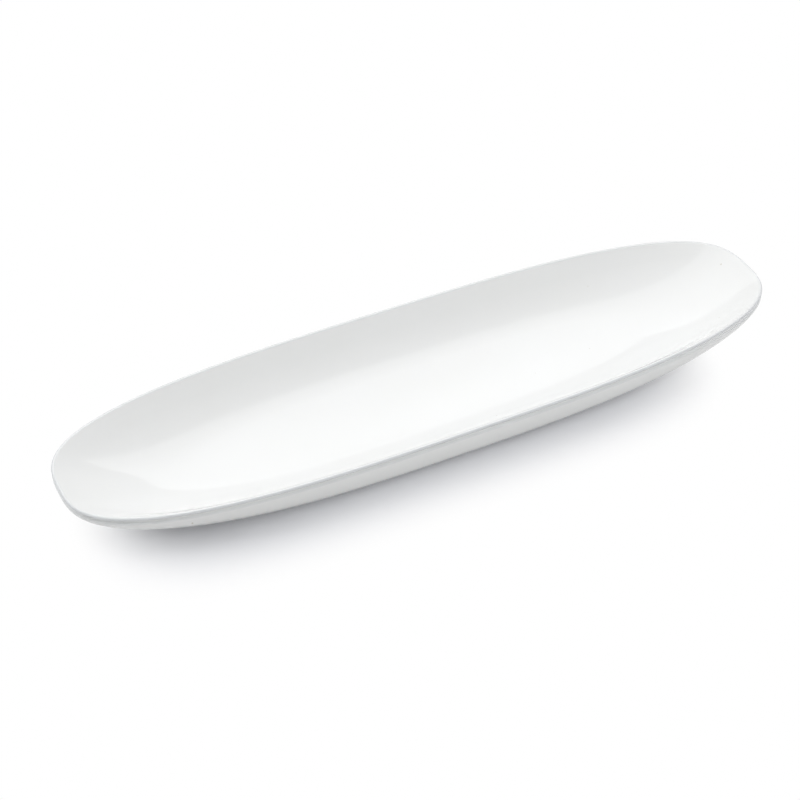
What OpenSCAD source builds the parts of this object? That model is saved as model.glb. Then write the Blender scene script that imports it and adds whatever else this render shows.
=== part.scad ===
// Asparagus plate: a long, narrow serving dish of glazed white porcelain, fired in one piece.
// X runs along the plate, Y across it and Z up. The origin is on the table, under the middle.
// The body is one loft: two section curves, one across the middle and one along the length,
// are carried round the oval outline and blended into each other on the way.

/* [Outline] */
// Length over the rim
plate_length = 420; // [320:5:500]
// Width over the rim
plate_width = 113; // [90:1:150]
// Height of the rim above the table
plate_height = 27; // [23:0.5:34]
// Bluntness of the curve along the length, 2 is an ellipse
length_power = 3; // [2:0.05:3.6]
// Bluntness of the curve across the ends, 2 is an ellipse
width_power = 2.9; // [2:0.05:4]

/* [Rim] */
// Thickness of the rim
rim_thickness = 2.8; // [2.6:0.1:3.6]
// Radius of the lip, the rim's outer edge. The rest of the thickness is its radius inside
lip_radius = 0.9; // [0.8:0.05:1.2]
// Depth of the groove under the lip
groove_depth = 1.3; // [1:0.05:1.4]
// Radius of the groove
groove_radius = 0.5; // [0.4:0.05:0.8]
// Radius of the shoulder below the groove
shoulder_radius = 1.6; // [1.2:0.1:2]

/* [Well] */
// Thickness of the floor at its middle
floor_thickness = 4.8; // [3.5:0.1:6]
// Fall of the floor from its edge to its middle
floor_dish = 0.8; // [0:0.1:1.5]
// Slope of the side walls inside, in degrees from level
side_wall_slope = 50; // [42:1:75]
// Radius between a side wall and the floor
side_wall_radius = 32; // [10:1:38]
// Slope of the end walls inside, in degrees from level
end_wall_slope = 27; // [24:1:40]
// Radius between an end wall and the floor
end_wall_radius = 150; // [60:5:160]

/* [Underside] */
// Width of the outer curve under the sides, from the rim to where it lies level
hull_side_run = 16; // [10:0.5:20]
// Length of the outer curve under the ends, from the rim to where it lies level
hull_end_run = 95; // [70:1:110]
// Bluntness of the outer curve under the sides, 1 is a straight slope and 2 is an ellipse
hull_side_power = 2; // [1.6:0.05:2.4]
// Bluntness of the outer curve under the ends, 1 is a straight slope and 2 is an ellipse
hull_end_power = 1.6; // [1.5:0.05:2]

/* [Foot] */
// Height of the base above the table
foot_height = 2; // [1.4:0.1:3]
// Thickness of the foot ring
foot_thickness = 4; // [3:0.25:6]
// Distance from the rim in to the foot ring along the sides
foot_side_inset = 22; // [18:0.5:28]
// Distance from the rim in to the foot ring at the ends
foot_end_inset = 76; // [60:1:110]
// Depth ground off the rounded foot to make it stand flat
foot_grinding = 0.35; // [0.1:0.05:0.6]

/* [Hidden] */

// Points round the outline, and steps along each stretch of the sections
outline_points = 120;
floor_steps = 4;
well_radius_steps = 9;
well_wall_steps = 3;
rim_steps = 4;
lip_steps = 8;
groove_steps = 4;
shoulder_steps = 3;
hull_steps = 10;
foot_steps = 6;

half_length = plate_length / 2;
half_width = plate_width / 2;
rim_radius = rim_thickness - lip_radius;
foot_radius = foot_thickness / 2;
floor_edge_height = foot_height + floor_thickness + floor_dish;
rim_centre = [lip_radius, plate_height - rim_radius];
lip_centre = [lip_radius, plate_height - lip_radius];

// A section is a list of [inset from the outline, height] points, from the floor's edge
// over the rim to the edge of the flat base.

// A point of a bend, at the bend's radius from its centre. Its lean is the angle from straight up,
// towards the outside, that the surface faces there. A hollow bend has a negative radius, because
// its centre lies outside the surface.
function point_at(centre, radius, lean) = centre + radius * [-sin(lean), cos(lean)];
function arc(centre, radius, from, to, steps) =
    [for (i = [0:steps]) point_at(centre, radius, from + (to - from) * i / steps)];

function line(from, to, steps) = [for (i = [1:steps - 1]) from + (to - from) * i / steps];

// The wall inside: where it leaves the rim, and the corner that it would make with the floor
function wall_top(slope) = point_at(rim_centre, rim_radius, -slope);
function wall_length(slope) = (wall_top(slope)[1] - floor_edge_height) / sin(slope);
function wall_corner(slope) = wall_top(slope)[0] + wall_length(slope) * cos(slope);

// A radius can be no larger than the wall that it eases
function eased_radius(slope, radius) = min(radius, wall_length(slope) / tan(slope / 2));
function floor_edge(slope, radius) = wall_corner(slope) + eased_radius(slope, radius) * tan(slope / 2);

function well_section(slope, radius) =
    let (
        eased = eased_radius(slope, radius),
        centre = [floor_edge(slope, radius), floor_edge_height + eased],
        bend = arc(centre, eased, 180, 180 - slope, well_radius_steps)
    )
    concat(bend, line(bend[well_radius_steps], wall_top(slope), well_wall_steps));

// The lip turns under on the outside, into a groove. A shoulder below it leads to the upright top
// of the wall, which stands out as far as the lip. The angles follow from the groove's depth.
lip_end = 90 + acos(1 - groove_depth / (lip_radius + groove_radius));
groove_end = asin(1 - groove_depth / (groove_radius + shoulder_radius));
groove_centre = point_at(lip_centre, lip_radius + groove_radius, lip_end);
shoulder_centre = point_at(groove_centre, -groove_radius - shoulder_radius, groove_end);
wall_outer_top = point_at(shoulder_centre, shoulder_radius, 90);

function lip_section(slope) = concat(
    arc(rim_centre, rim_radius, -slope, 0, rim_steps),
    but_first(arc(lip_centre, lip_radius, 0, lip_end, lip_steps)),
    but_first(arc(groove_centre, -groove_radius, lip_end, groove_end, groove_steps)),
    but_first(arc(shoulder_centre, shoulder_radius, groove_end, 90, shoulder_steps))
);

// All points but the first, where two stretches share one
function but_first(points) = [for (i = [1:len(points) - 1]) points[i]];

// The outer curve is a quarter of an ellipse, or of a leaner curve like it. It leaves the shoulder
// upright and runs out level with the base, as far in as the foot ring.
function hull_section(run, power, foot_inset) =
    let (
        top = wall_outer_top,
        length = run - top[0],
        rise = top[1] - foot_height,
        last_turn = acos(pow(1 - min(foot_inset - top[0], length) / length, power / 2))
    )
    [for (i = [1:hull_steps])
        let (turn = last_turn * i / hull_steps)
        [
            top[0] + length * (1 - pow(cos(turn), 2 / power)),
            foot_height + rise * (1 - pow(sin(turn), 2 / power))
        ]];

// The foot ring: a half round on short upright walls
function foot_section(inset) =
    let (centre = [inset + foot_radius, foot_radius - foot_grinding])
    concat(arc(centre, foot_radius, 90, 270, foot_steps), [[inset + foot_thickness, foot_height]]);

function section(slope, radius, run, power, foot_inset) = concat(
    well_section(slope, radius),
    lip_section(slope),
    hull_section(run, power, foot_inset),
    foot_section(foot_inset)
);

side = section(side_wall_slope, side_wall_radius, hull_side_run, hull_side_power, foot_side_inset);
end = section(end_wall_slope, end_wall_radius, hull_end_run, hull_end_power, foot_end_inset);

// A ring is [half length, half width, height at the ends, height at the sides]
function floor_ring(share) =
    let (height = floor_edge_height - floor_dish * pow(1 - share * share, 2))
    [(half_length - end[0][0]) * share, (half_width - side[0][0]) * share, height, height];

rings = concat(
    [for (i = [1:floor_steps - 1]) floor_ring(i / floor_steps)],
    [for (i = [0:len(side) - 1])
        [half_length - end[i][0], half_width - side[i][0], end[i][1], side[i][1]]]
);

// A ring's point at an angle. The ends' share of its height is the cosine squared, and the sides'
// share is the sine squared.
function ring_point(ring, angle) =
    let (c = cos(angle), s = sin(angle))
    [
        ring[0] * sign(c) * pow(abs(c), 2 / length_power),
        ring[1] * sign(s) * pow(abs(s), 2 / width_power),
        ring[2] * c * c + ring[3] * s * s
    ];

// A closed skin over rings that run from the middle of the top, over the rim, to the middle of the base
module loft(rings, top, bottom) {
    n = outline_points;
    last = len(rings) - 1;
    points = concat(
        [for (ring = rings, j = [0:n - 1]) ring_point(ring, 360 * j / n)],
        [[0, 0, top], [0, 0, bottom]]
    );
    skin = [for (i = [0:last - 1], j = [0:n - 1])
        let (a = i * n + j, b = i * n + (j + 1) % n)
        each [[a, b, b + n], [a, b + n, a + n]]];
    caps = [for (j = [0:n - 1])
        let (k = (j + 1) % n)
        each [[j, (last + 1) * n, k], [last * n + k, (last + 1) * n + 1, last * n + j]]];
    polyhedron(points, concat(skin, caps));
}

// The foot is ground flat, so that it stands on one level ring
module plate() {
    color("white")
    difference() {
        loft(rings, floor_edge_height - floor_dish, foot_height);
        translate([-plate_length, -plate_width, -plate_height])
            cube([2 * plate_length, 2 * plate_width, plate_height]);
    }
}

plate();
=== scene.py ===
"""Asparagus plate: a long, boat-shaped serving dish of white porcelain under a clear gloss glaze.

The dish is one fired piece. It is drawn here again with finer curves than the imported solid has,
from the same sizes, and dressed with its glaze and the bare clay of its foot."""

import math

import bmesh
import bpy
from mathutils import Matrix, Vector


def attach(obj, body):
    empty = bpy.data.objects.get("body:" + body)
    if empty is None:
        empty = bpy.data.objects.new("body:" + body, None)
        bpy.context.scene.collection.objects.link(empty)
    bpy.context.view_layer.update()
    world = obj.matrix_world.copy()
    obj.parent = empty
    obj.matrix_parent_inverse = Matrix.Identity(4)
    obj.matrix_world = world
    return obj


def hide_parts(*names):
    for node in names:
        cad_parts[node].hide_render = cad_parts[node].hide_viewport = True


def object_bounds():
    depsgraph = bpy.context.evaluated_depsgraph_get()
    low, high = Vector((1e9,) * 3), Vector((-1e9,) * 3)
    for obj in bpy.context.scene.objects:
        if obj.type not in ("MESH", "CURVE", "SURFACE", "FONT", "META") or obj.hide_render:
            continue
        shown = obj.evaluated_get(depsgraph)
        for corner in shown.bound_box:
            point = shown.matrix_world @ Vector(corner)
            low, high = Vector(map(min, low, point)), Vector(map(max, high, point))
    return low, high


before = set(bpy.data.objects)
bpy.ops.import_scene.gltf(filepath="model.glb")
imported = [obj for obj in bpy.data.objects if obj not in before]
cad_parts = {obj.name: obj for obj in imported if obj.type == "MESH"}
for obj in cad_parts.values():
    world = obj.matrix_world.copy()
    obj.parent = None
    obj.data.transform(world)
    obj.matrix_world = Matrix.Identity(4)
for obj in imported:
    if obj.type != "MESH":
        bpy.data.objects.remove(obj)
cad_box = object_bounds()
MM = 0.001

# The dish's sizes in millimetres and degrees, as its construction names them
RIM_THICKNESS = 2.8
LIP_RADIUS = 0.9
GROOVE_DEPTH = 1.3
GROOVE_RADIUS = 0.5
SHOULDER_RADIUS = 1.6
FLOOR_THICKNESS = 4.8
FLOOR_DISH = 0.8
SIDE_WALL = {"slope": 50, "radius": 32, "hull_run": 16, "hull_power": 2, "foot_inset": 22}
END_WALL = {"slope": 27, "radius": 150, "hull_run": 95, "hull_power": 1.6, "foot_inset": 76}
FOOT_HEIGHT = 2.0
FOOT_THICKNESS = 4.0
FOOT_GRINDING = 0.35
LENGTH_POWER = 3.0
WIDTH_POWER = 2.9

HALF_LENGTH = cad_box[1].x / MM
HALF_WIDTH = cad_box[1].y / MM
HEIGHT = cad_box[1].z / MM
RIM_RADIUS = RIM_THICKNESS - LIP_RADIUS
RIM_CENTRE = (LIP_RADIUS, HEIGHT - RIM_RADIUS)
LIP_CENTRE = (LIP_RADIUS, HEIGHT - LIP_RADIUS)
FOOT_RADIUS = FOOT_THICKNESS / 2
FLOOR_EDGE = FOOT_HEIGHT + FLOOR_THICKNESS + FLOOR_DISH

# How finely each stretch is drawn
POINTS_ROUND = 320
FLOOR_STEPS = 12
BEND_STEPS = 16
WALL_STEPS = 6
RIM_STEPS = 8
LIP_STEPS = 6
GROOVE_STEPS = 8
SHOULDER_STEPS = 6
HULL_STEPS = 22
FOOT_STEPS = 5

# The foot is wiped clean of glaze up to this height. Hollows are painted darker, with shade and
# with pooled glaze's cooler tint, fully where their radius is this or less. Both are in millimetres.
BARE_HEIGHT = 0.6
DEEPEST_HOLLOW = 0.5

# Sizes of the patterns, in millimetres: the drift of the glaze's white, its specks and waves, the
# clay's grain and rubbed spots, and how high waves and grain stand. The grain is drawn coarser
# than real clay's, so that it shows.
DRIFT_SIZE = 45.45
SPECK_SPACING = 2.381
WAVE_LENGTH = 14.286
GRAIN_SIZE = 0.385
RUB_SIZE = 6.25
RELIEF = 0.03

# The shadow on the floor lies in an oval round this place, with these half axes along and across
# the dish, in metres. Across the dish, it starts to clear at the first share of the half axis and
# is gone at the second.
SHADOW_MIDDLE = (-0.02, -0.02, 0)
SHADOW_REACH = (0.2, 0.08, 1)
CLEARING_SHARES = (0.3, 0.88)

# Half the side of the floor, and the distance of the softboxes from the dish, in metres
FLOOR_REACH = 4
LAMP_DISTANCE = 2.5

# Each softbox by its bearing and elevation, half its width and height as the dish sees them, all
# in degrees, and its brightness, where 1 is as bright as the white studio
SOFTBOXES = {
    "left_softbox": (306, 30, (24, 14), 3.1),
    "right_softbox": (133, 44, (26, 12), 3.15),
    "top_softbox": (27, 89, (17, 14), 0.7),
    "front_fill": (206, 22, (40, 14), 0.88),
    "back_strip": (31, 22, (45, 10), 1.7),
}

# The canopy hangs level over the back of the set. The glaze mirrors it, and its front edge is the
# step of brightness along the far wall.
CANOPY_PLACE = (0.03, 1.77, 2.5)
CANOPY_TURN = 22.3
CANOPY_SIZE = (4.2, 3.15)
CANOPY_BRIGHTNESS = 1.1

# The camera looks at a place close to the dish's middle, from a bearing and elevation in degrees
# and a distance in metres. Its film and lens are in millimetres.
CAMERA_AIM = (-0.01144, 0.01015, 0)
CAMERA_BEARING = 206.56
CAMERA_ELEVATION = 41.28
CAMERA_DISTANCE = 0.9967
FILM_WIDTH = 36
LENS = 80.64


def arc(centre, radius, start, stop, steps):
    """Section points about a centre, by the angle that the surface's outward side leans from upright."""
    points = []
    for i in range(steps + 1):
        lean = math.radians(start + (stop - start) * i / steps)
        points.append((centre[0] - radius * math.sin(lean), centre[1] + radius * math.cos(lean)))
    return points


def point_at(centre, radius, lean):
    """The one point of such an arc that leans by this angle."""
    return arc(centre, radius, lean, lean, 1)[0]


def well_section(wall):
    """The wall inside, from the floor's edge up to the rim, as (inset, height) points."""
    slope = math.radians(wall["slope"])
    top = point_at(RIM_CENTRE, RIM_RADIUS, -wall["slope"])
    length = (top[1] - FLOOR_EDGE) / math.sin(slope)
    radius = min(wall["radius"], length / math.tan(slope / 2))
    floor_edge = top[0] + length * math.cos(slope) + radius * math.tan(slope / 2)
    bend = arc((floor_edge, FLOOR_EDGE + radius), radius, 180, 180 - wall["slope"], BEND_STEPS)
    last = Vector(bend[-1])
    straight = [tuple(last.lerp(Vector(top), i / WALL_STEPS)) for i in range(1, WALL_STEPS)]
    return bend + straight


LIP_END = 90 + math.degrees(math.acos(1 - GROOVE_DEPTH / (LIP_RADIUS + GROOVE_RADIUS)))
GROOVE_END = math.degrees(math.asin(1 - GROOVE_DEPTH / (GROOVE_RADIUS + SHOULDER_RADIUS)))
GROOVE_CENTRE = point_at(LIP_CENTRE, LIP_RADIUS + GROOVE_RADIUS, LIP_END)
SHOULDER_CENTRE = point_at(GROOVE_CENTRE, -GROOVE_RADIUS - SHOULDER_RADIUS, GROOVE_END)
WALL_TOP = point_at(SHOULDER_CENTRE, SHOULDER_RADIUS, 90)


def lip_section(wall):
    """The rounded rim, its lip turned under on the outside into a groove, and the shoulder below it."""
    inner = arc(RIM_CENTRE, RIM_RADIUS, -wall["slope"], 0, RIM_STEPS)
    outer = arc(LIP_CENTRE, LIP_RADIUS, 0, 90, RIM_STEPS)[1:]
    under = arc(LIP_CENTRE, LIP_RADIUS, 90, LIP_END, LIP_STEPS)[1:]
    groove = arc(GROOVE_CENTRE, -GROOVE_RADIUS, LIP_END, GROOVE_END, GROOVE_STEPS)[1:]
    shoulder = arc(SHOULDER_CENTRE, SHOULDER_RADIUS, GROOVE_END, 90, SHOULDER_STEPS)[1:]
    return inner + outer + under + groove + shoulder


def hull_section(wall):
    """The outside below the shoulder: a quarter of an ellipse, or of a leaner curve under the ends."""
    run, rise = wall["hull_run"] - WALL_TOP[0], WALL_TOP[1] - FOOT_HEIGHT
    power = wall["hull_power"]
    last = math.acos((1 - min(wall["foot_inset"] - WALL_TOP[0], run) / run) ** (power / 2))
    points = []
    for i in range(1, HULL_STEPS + 1):
        turn = last * i / HULL_STEPS
        inset = WALL_TOP[0] + run * (1 - math.cos(turn) ** (2 / power))
        points.append((inset, FOOT_HEIGHT + rise * (1 - math.sin(turn) ** (2 / power))))
    return points


def foot_section(wall):
    """The foot ring: rounded sides and the level stretch that was ground flat."""
    inset = wall["foot_inset"]
    centre = (inset + FOOT_RADIUS, FOOT_RADIUS - FOOT_GRINDING)
    flat = math.degrees(math.acos(-centre[1] / FOOT_RADIUS))
    outer = arc(centre, FOOT_RADIUS, 90, flat, FOOT_STEPS)
    inner = arc(centre, FOOT_RADIUS, 360 - flat, 270, FOOT_STEPS)
    return outer + inner + [(inset + FOOT_THICKNESS, FOOT_HEIGHT)]


def section(wall):
    """The whole section, from the floor's edge over the rim to the inside of the foot."""
    return well_section(wall) + lip_section(wall) + hull_section(wall) + foot_section(wall)


def outline_place(turn, half_length, half_width, end_height, side_height):
    """A point on a ring: the outline is blunter than an ellipse, and height passes from side to end."""
    along, across = math.cos(turn), math.sin(turn)
    return Vector(
        (
            half_length * math.copysign(abs(along) ** (2 / LENGTH_POWER), along),
            half_width * math.copysign(abs(across) ** (2 / WIDTH_POWER), across),
            end_height * along**2 + side_height * across**2,
        )
    )


def floor_rings(half_length, half_width):
    """Rings of the gently dished floor, from near its middle out to just short of its edge."""
    for i in range(1, FLOOR_STEPS):
        share = i / FLOOR_STEPS
        height = FLOOR_EDGE - FLOOR_DISH * (1 - share**2) ** 2
        yield share * half_length, share * half_width, height, height


def dish_rings():
    """Every ring from the middle of the floor, over the rim, to the inside of the foot, in order."""
    ends, sides = section(END_WALL), section(SIDE_WALL)
    rings = list(floor_rings(HALF_LENGTH - ends[0][0], HALF_WIDTH - sides[0][0]))
    for (end_inset, end_height), (side_inset, side_height) in zip(ends, sides):
        rings.append((HALF_LENGTH - end_inset, HALF_WIDTH - side_inset, end_height, side_height))
    return rings


def shade_and_pooling_depths():
    """Each ring's share of painted shade and pooled glaze, from 1 in the tightest hollows to -1 over
    sharp edges.
    """
    points = [Vector(point) for point in section(SIDE_WALL)]
    depths = []
    for before, here, after in zip(points, points[1:], points[2:]):
        step_in, step_out = here - before, after - here
        bend = 2 * step_in.angle_signed(step_out) / (step_in.length + step_out.length)
        depths.append(max(-1.0, min(1.0, -bend * DEEPEST_HOLLOW)))
    return [0.0] * FLOOR_STEPS + depths + [0.0]


def grow_ring(bm, edges):
    """Extrudes a ring's edges, and returns the new ring's vertices and edges."""
    grown = bmesh.ops.extrude_edge_only(bm, edges=edges)["geom"]
    verts = {part for part in grown if isinstance(part, bmesh.types.BMVert)}
    loose = [part for part in grown if isinstance(part, bmesh.types.BMEdge)]
    return verts, [edge for edge in loose if verts.issuperset(edge.verts)]


def close_middle(bm, ring_edges, height):
    """Closes a ring with a fan of faces that meet in the middle at a given height."""
    cap = bmesh.ops.edgeloop_fill(bm, edges=ring_edges)["faces"]
    for vert in bmesh.ops.poke(bm, faces=cap)["verts"]:
        vert.co = (0, 0, height * MM)


def make_dish():
    """The dish, grown from a circle: the first ring of its floor, and every ring after it in turn."""
    bm = bmesh.new()
    bmesh.ops.create_circle(bm, segments=POINTS_ROUND, radius=1)
    turn = bm.verts.layers.float.new("turn")
    # This layer holds each vertex's share of painted shade and pooled glaze in hollows
    glaze = bm.verts.layers.float.new("shade_and_pooling_depth")
    for vert in bm.verts:
        vert[turn] = math.atan2(vert.co.y, vert.co.x)
    verts, edges = list(bm.verts), list(bm.edges)
    first_edges = edges
    for number, (ring, depth) in enumerate(zip(dish_rings(), shade_and_pooling_depths())):
        if number:
            verts, edges = grow_ring(bm, edges)
        for vert in verts:
            vert.co = outline_place(vert[turn], *ring) * MM
            vert[glaze] = depth
    close_middle(bm, first_edges, FLOOR_EDGE - FLOOR_DISH)
    close_middle(bm, edges, FOOT_HEIGHT)
    bmesh.ops.recalc_face_normals(bm, faces=bm.faces)
    for face in bm.faces:
        face.material_index = int(max(vert.co.z for vert in face.verts) < BARE_HEIGHT * MM)
    mesh = bpy.data.meshes.new("dish")
    bm.to_mesh(mesh)
    bm.free()
    mesh.shade_smooth()
    dish = bpy.data.objects.new("dish", mesh)
    bpy.context.scene.collection.objects.link(dish)
    return dish


def linear(hex_colour):
    """An sRGB hex colour as linear RGBA."""
    shares = [int(hex_colour[i : i + 2], 16) / 255 for i in (1, 3, 5)]
    return [s / 12.92 if s <= 0.04045 else ((s + 0.055) / 1.055) ** 2.4 for s in shares] + [1]


def add_node(tree, kind, settings=None, **sockets):
    """Adds a shader node, sets its properties, and sets or links its inputs: each by its name, with
    spaces as underscores, or by its number after an underscore."""
    node = tree.nodes.new("ShaderNode" + kind)
    for name, value in (settings or {}).items():
        setattr(node, name, value)
    for name, value in sockets.items():
        socket = node.inputs[int(name[1:]) if name[1:].isdigit() else name.replace("_", " ")]
        if isinstance(value, bpy.types.NodeSocket):
            tree.links.new(value, socket)
        else:
            socket.default_value = value
    return node


def new_material(name):
    material = bpy.data.materials.new(name)
    material.use_nodes = True
    material.node_tree.nodes.clear()
    return material, material.node_tree


def noise_scale(size):
    """The scale of a noise whose cells are this many millimetres across."""
    return 1 / (size * MM)


def glazed_porcelain():
    """White porcelain dipped in clear feldspar glaze and fired to a glassy gloss: a bright, even
    white with a soft body under a hard mirror-like skin. The melt levelled into broad, faint waves
    that bend reflections, and holds a few specks no larger than a grain of salt. The groove under
    the lip is painted a darker, cooler grey: mostly painted shade, partly the tint of glaze pooled
    there."""
    material, tree = new_material("glazed_porcelain")
    place = add_node(tree, "TexCoord").outputs["Object"]
    # Each vertex's share of painted shade and pooled glaze, highest in tight hollows
    depth = add_node(tree, "Attribute", {"attribute_name": "shade_and_pooling_depth"}).outputs["Fac"]

    drift = add_node(tree, "TexNoise", Vector=place, Scale=noise_scale(DRIFT_SIZE), Detail=1.0)
    body = add_node(
        tree,
        "Mix",
        {"data_type": "RGBA"},
        _0=drift.outputs["Fac"],
        _6=linear("#EEEFEE"),
        _7=linear("#F0F1F1"),
    )
    # Painted shade in the groove under the lip and other tight hollows, partly the tint of pooled glaze
    shade_and_pooling = add_node(tree, "MapRange", Value=depth, From_Min=0.1, From_Max=1.0)
    shaded_and_pooled = add_node(
        tree,
        "Mix",
        {"data_type": "RGBA"},
        _0=shade_and_pooling.outputs[0],
        _6=body.outputs[2],
        # The painted shade's cool grey
        _7=linear("#C7CBD0"),
    )
    grit = add_node(tree, "TexNoise", Vector=place, Scale=noise_scale(SPECK_SPACING), Detail=0.0)
    speck = add_node(tree, "MapRange", Value=grit.outputs["Fac"], From_Min=0.915, From_Max=0.93)
    colour = add_node(
        tree,
        "Mix",
        {"data_type": "RGBA"},
        _0=speck.outputs[0],
        _6=shaded_and_pooled.outputs[2],
        _7=linear("#CFCBC1"),
    )

    waves = add_node(
        tree, "TexNoise", Vector=place, Scale=noise_scale(WAVE_LENGTH), Detail=1.0, Roughness=0.4
    )
    skin = add_node(tree, "Bump", Strength=1.0, Distance=RELIEF * MM, Height=waves.outputs["Fac"])
    shader = add_node(
        tree,
        "BsdfPrincipled",
        Base_Color=colour.outputs[2],
        Roughness=0.05,
        IOR=1.5,
        Normal=skin.outputs[0],
    )
    add_node(tree, "OutputMaterial", Surface=shader.outputs[0])
    return material


def bare_biscuit():
    """The foot, wiped of glaze before firing and ground flat: dry, matt, fine-grained ivory clay,
    rubbed a little grey where it stands on tables."""
    material, tree = new_material("bare_biscuit")
    place = add_node(tree, "TexCoord").outputs["Object"]
    grain = add_node(tree, "TexNoise", Vector=place, Scale=noise_scale(GRAIN_SIZE), Detail=2.0)
    clay = add_node(
        tree,
        "Mix",
        {"data_type": "RGBA"},
        _0=grain.outputs["Fac"],
        _6=linear("#DDD7CC"),
        _7=linear("#EBE7DF"),
    )
    rubs = add_node(tree, "TexNoise", Vector=place, Scale=noise_scale(RUB_SIZE), Detail=3.0)
    rubbed = add_node(
        tree, "MapRange", Value=rubs.outputs["Fac"], From_Min=0.5, From_Max=0.75, To_Max=0.5
    )
    colour = add_node(
        tree,
        "Mix",
        {"data_type": "RGBA"},
        _0=rubbed.outputs[0],
        _6=clay.outputs[2],
        _7=linear("#B5B1AA"),
    )
    grit = add_node(tree, "Bump", Strength=1.0, Distance=RELIEF * MM, Height=grain.outputs["Fac"])
    shader = add_node(
        tree,
        "BsdfPrincipled",
        Base_Color=colour.outputs[2],
        Roughness=0.75,
        IOR=1.5,
        Normal=grit.outputs[0],
    )
    add_node(tree, "OutputMaterial", Surface=shader.outputs[0])
    return material


def seen_directly(tree):
    """One for the camera and for rays that the glaze mirrors or lets through, zero for the others."""
    path = add_node(tree, "LightPath").outputs
    mirrored = add_node(
        tree, "Math", {"operation": "ADD"}, _0=path["Is Camera Ray"], _1=path["Is Glossy Ray"]
    )
    return add_node(
        tree,
        "Math",
        {"operation": "ADD", "use_clamp": True},
        _0=mirrored.outputs[0],
        _1=path["Is Transmission Ray"],
    ).outputs[0]


def studio_floor():
    """A matt white sweep of paper. Seen directly it keeps the shadow that lies against the dish and
    clears to plain white round it, over an oval nearly as long as the dish. The sixth power along
    the dish gives the oval its square ends."""
    material, tree = new_material("studio_floor")
    bounced = add_node(tree, "BsdfDiffuse", Color=linear("#E2E2E2"))
    shaded = add_node(tree, "BsdfDiffuse", Color=linear("#F6F7FB"))
    clear = add_node(tree, "Emission", Color=linear("#FFFFFF"), Strength=1.0)

    oval = add_node(
        tree,
        "Mapping",
        {"vector_type": "TEXTURE"},
        Vector=add_node(tree, "TexCoord").outputs["Object"],
        Location=SHADOW_MIDDLE,
        Scale=SHADOW_REACH,
    )
    place = add_node(tree, "SeparateXYZ", Vector=oval.outputs[0]).outputs
    square = add_node(tree, "Math", {"operation": "MULTIPLY"}, _0=place["X"], _1=place["X"])
    blunt = add_node(tree, "Math", {"operation": "POWER"}, _0=square.outputs[0], _1=3.0)
    reach = add_node(
        tree,
        "Math",
        {"operation": "MULTIPLY_ADD"},
        _0=place["Y"],
        _1=place["Y"],
        _2=blunt.outputs[0],
    )
    distance = add_node(tree, "Math", {"operation": "SQRT"}, _0=reach.outputs[0])
    away = add_node(
        tree,
        "MapRange",
        {"interpolation_type": "SMOOTHSTEP"},
        Value=distance.outputs[0],
        From_Min=CLEARING_SHARES[0],
        From_Max=CLEARING_SHARES[1],
    ).outputs[0]
    seen = add_node(tree, "MixShader", _0=away, _1=shaded.outputs[0], _2=clear.outputs[0])
    mix = add_node(
        tree, "MixShader", _0=seen_directly(tree), _1=bounced.outputs[0], _2=seen.outputs[0]
    )
    add_node(tree, "OutputMaterial", Surface=mix.outputs[0])
    return material


def make_floor():
    bm = bmesh.new()
    bmesh.ops.create_grid(bm, x_segments=1, y_segments=1, size=FLOOR_REACH)
    mesh = bpy.data.meshes.new("floor")
    bm.to_mesh(mesh)
    bm.free()
    floor = bpy.data.objects.new("floor", mesh)
    bpy.context.scene.collection.objects.link(floor)
    floor.data.materials.append(studio_floor())


def make_world():
    """The white studio that the glaze mirrors. The lamps do the lighting, so it adds little to them."""
    world = bpy.data.worlds.new("studio")
    bpy.context.scene.world = world
    world.use_nodes = True
    tree = world.node_tree
    tree.nodes.clear()
    fill = add_node(tree, "Background", Color=linear("#FFFFFF"), Strength=0.1)
    white = add_node(tree, "Background", Color=linear("#FFFFFF"), Strength=1.0)
    mix = add_node(
        tree, "MixShader", _0=seen_directly(tree), _1=fill.outputs[0], _2=white.outputs[0]
    )
    add_node(tree, "OutputWorld", Surface=mix.outputs[0])


def looking_at(target, bearing, elevation, distance):
    """The placing of a camera or lamp that looks at a target from a bearing: 0 is +Y and 90 is +X."""
    turn, rise = math.radians(bearing), math.radians(elevation)
    level = Vector((math.sin(turn), math.cos(turn), 0))
    back = level * math.cos(rise) + Vector((0, 0, math.sin(rise)))
    right = Vector((0, 0, 1)).cross(back).normalized()
    placing = Matrix((right, back.cross(right), back)).transposed().to_4x4()
    placing.translation = Vector(target) + back * distance
    return placing


def make_softbox(name, placing, size, brightness, mirrored=False):
    """A rectangular lamp of an even brightness, which the glaze mirrors only if told to."""
    data = bpy.data.lights.new(name, "AREA")
    data.shape = "RECTANGLE"
    data.size, data.size_y = size
    data.energy = math.pi * size[0] * size[1] * brightness
    lamp = bpy.data.objects.new(name, data)
    bpy.context.scene.collection.objects.link(lamp)
    lamp.matrix_world = placing
    lamp.visible_glossy = mirrored


def make_lamps():
    for name, (bearing, elevation, half_angles, brightness) in SOFTBOXES.items():
        size = [2 * LAMP_DISTANCE * math.tan(math.radians(angle)) for angle in half_angles]
        make_softbox(name, looking_at((0, 0, 0), bearing, elevation, LAMP_DISTANCE), size, brightness)
    turned = Matrix.Rotation(math.radians(CANOPY_TURN), 4, "Z")
    canopy = Matrix.Translation(CANOPY_PLACE) @ turned
    make_softbox("canopy", canopy, CANOPY_SIZE, CANOPY_BRIGHTNESS, mirrored=True)


def make_camera():
    data = bpy.data.cameras.new("camera")
    data.sensor_width = FILM_WIDTH
    data.lens = LENS
    camera = bpy.data.objects.new("camera", data)
    bpy.context.scene.collection.objects.link(camera)
    bpy.context.scene.camera = camera
    camera.matrix_world = looking_at(CAMERA_AIM, CAMERA_BEARING, CAMERA_ELEVATION, CAMERA_DISTANCE)


dish = make_dish()
dish.data.materials.append(glazed_porcelain())
dish.data.materials.append(bare_biscuit())
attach(dish, "root")
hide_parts("plate")
make_floor()
make_world()
make_lamps()
make_camera()
bpy.context.scene.view_settings.view_transform = "Standard"
